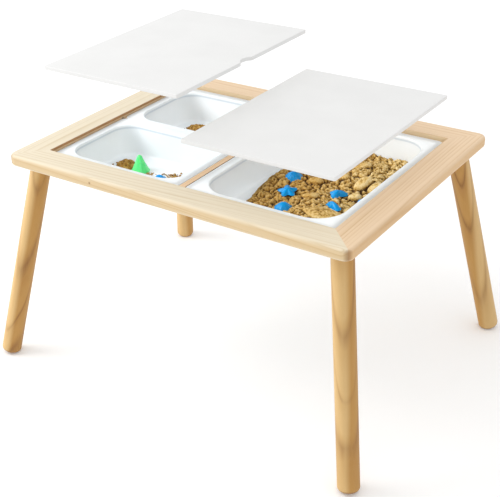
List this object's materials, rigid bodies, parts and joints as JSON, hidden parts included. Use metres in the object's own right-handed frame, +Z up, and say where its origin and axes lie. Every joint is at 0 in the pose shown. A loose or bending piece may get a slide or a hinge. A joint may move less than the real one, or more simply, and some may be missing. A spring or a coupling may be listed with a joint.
{
  "type": "sand and water table",
  "caption": "Children's wooden sensory table on splayed round legs, with hanging plastic bins in two bays and flat lift-off lids; sand and sand moulds inside.",
  "frame": {"origin": "on the floor under the centre of the table", "axes": "+Z up, +X along the table's long side towards the large bin, +Y towards the back rail"},
  "size_m": [0.9064, 0.7076, 0.661],
  "materials": {
    "pine_rail": "clear satin varnish",
    "pine_leg": "clear satin varnish",
    "beech_dowel": "plain turned",
    "zinc_plated_steel": "zinc plated",
    "white_bin": "moulded polypropylene",
    "white_lid": "satin sheet",
    "play_sand": "damp grains",
    "blue_mould": "moulded",
    "green_mould": "moulded"
  },
  "bodies": {
    "table": {"front_rail": "pine_rail", "back_rail": "pine_rail", "left_rail": "pine_rail", "right_rail": "pine_rail", "divider": "pine_rail", "mitre_dowels": "beech_dowel", "divider_dowels": "beech_dowel", "leg_inserts": "zinc_plated_steel", "hanger_bolts": "zinc_plated_steel", "front_left_leg": "pine_leg", "front_right_leg": "pine_leg", "back_left_leg": "pine_leg", "back_right_leg": "pine_leg"},
    "left_lid": {"left_lid": "white_lid"},
    "right_lid": {"right_lid": "white_lid"},
    "front_bin": {"front_bin": "white_bin", "front_bin_sand": "play_sand", "cone_mould": "green_mould", "shell_mould": "blue_mould"},
    "back_bin": {"back_bin": "white_bin", "back_bin_sand": "play_sand"},
    "large_bin": {"large_bin": "white_bin", "large_bin_sand": "play_sand", "large_bin_moulds": "blue_mould"}
  },
  "joints": [
    {"name": "left_lid_lift", "type": "slide", "parent": "table", "child": "left_lid", "axis": [0, 0, 1], "range_m": [-0.181, 0]},
    {"name": "right_lid_lift", "type": "slide", "parent": "table", "child": "right_lid", "axis": [0, 0, 1], "range_m": [-0.094, 0]},
    {"name": "front_bin_lift", "type": "slide", "parent": "table", "child": "front_bin", "axis": [0, 0, 1], "range_m": [0, 0.088]},
    {"name": "back_bin_lift", "type": "slide", "parent": "table", "child": "back_bin", "axis": [0, 0, 1], "range_m": [0, 0.088]},
    {"name": "large_bin_lift", "type": "slide", "parent": "table", "child": "large_bin", "axis": [0, 0, 1], "range_m": [0, 0.088]}
  ]
}
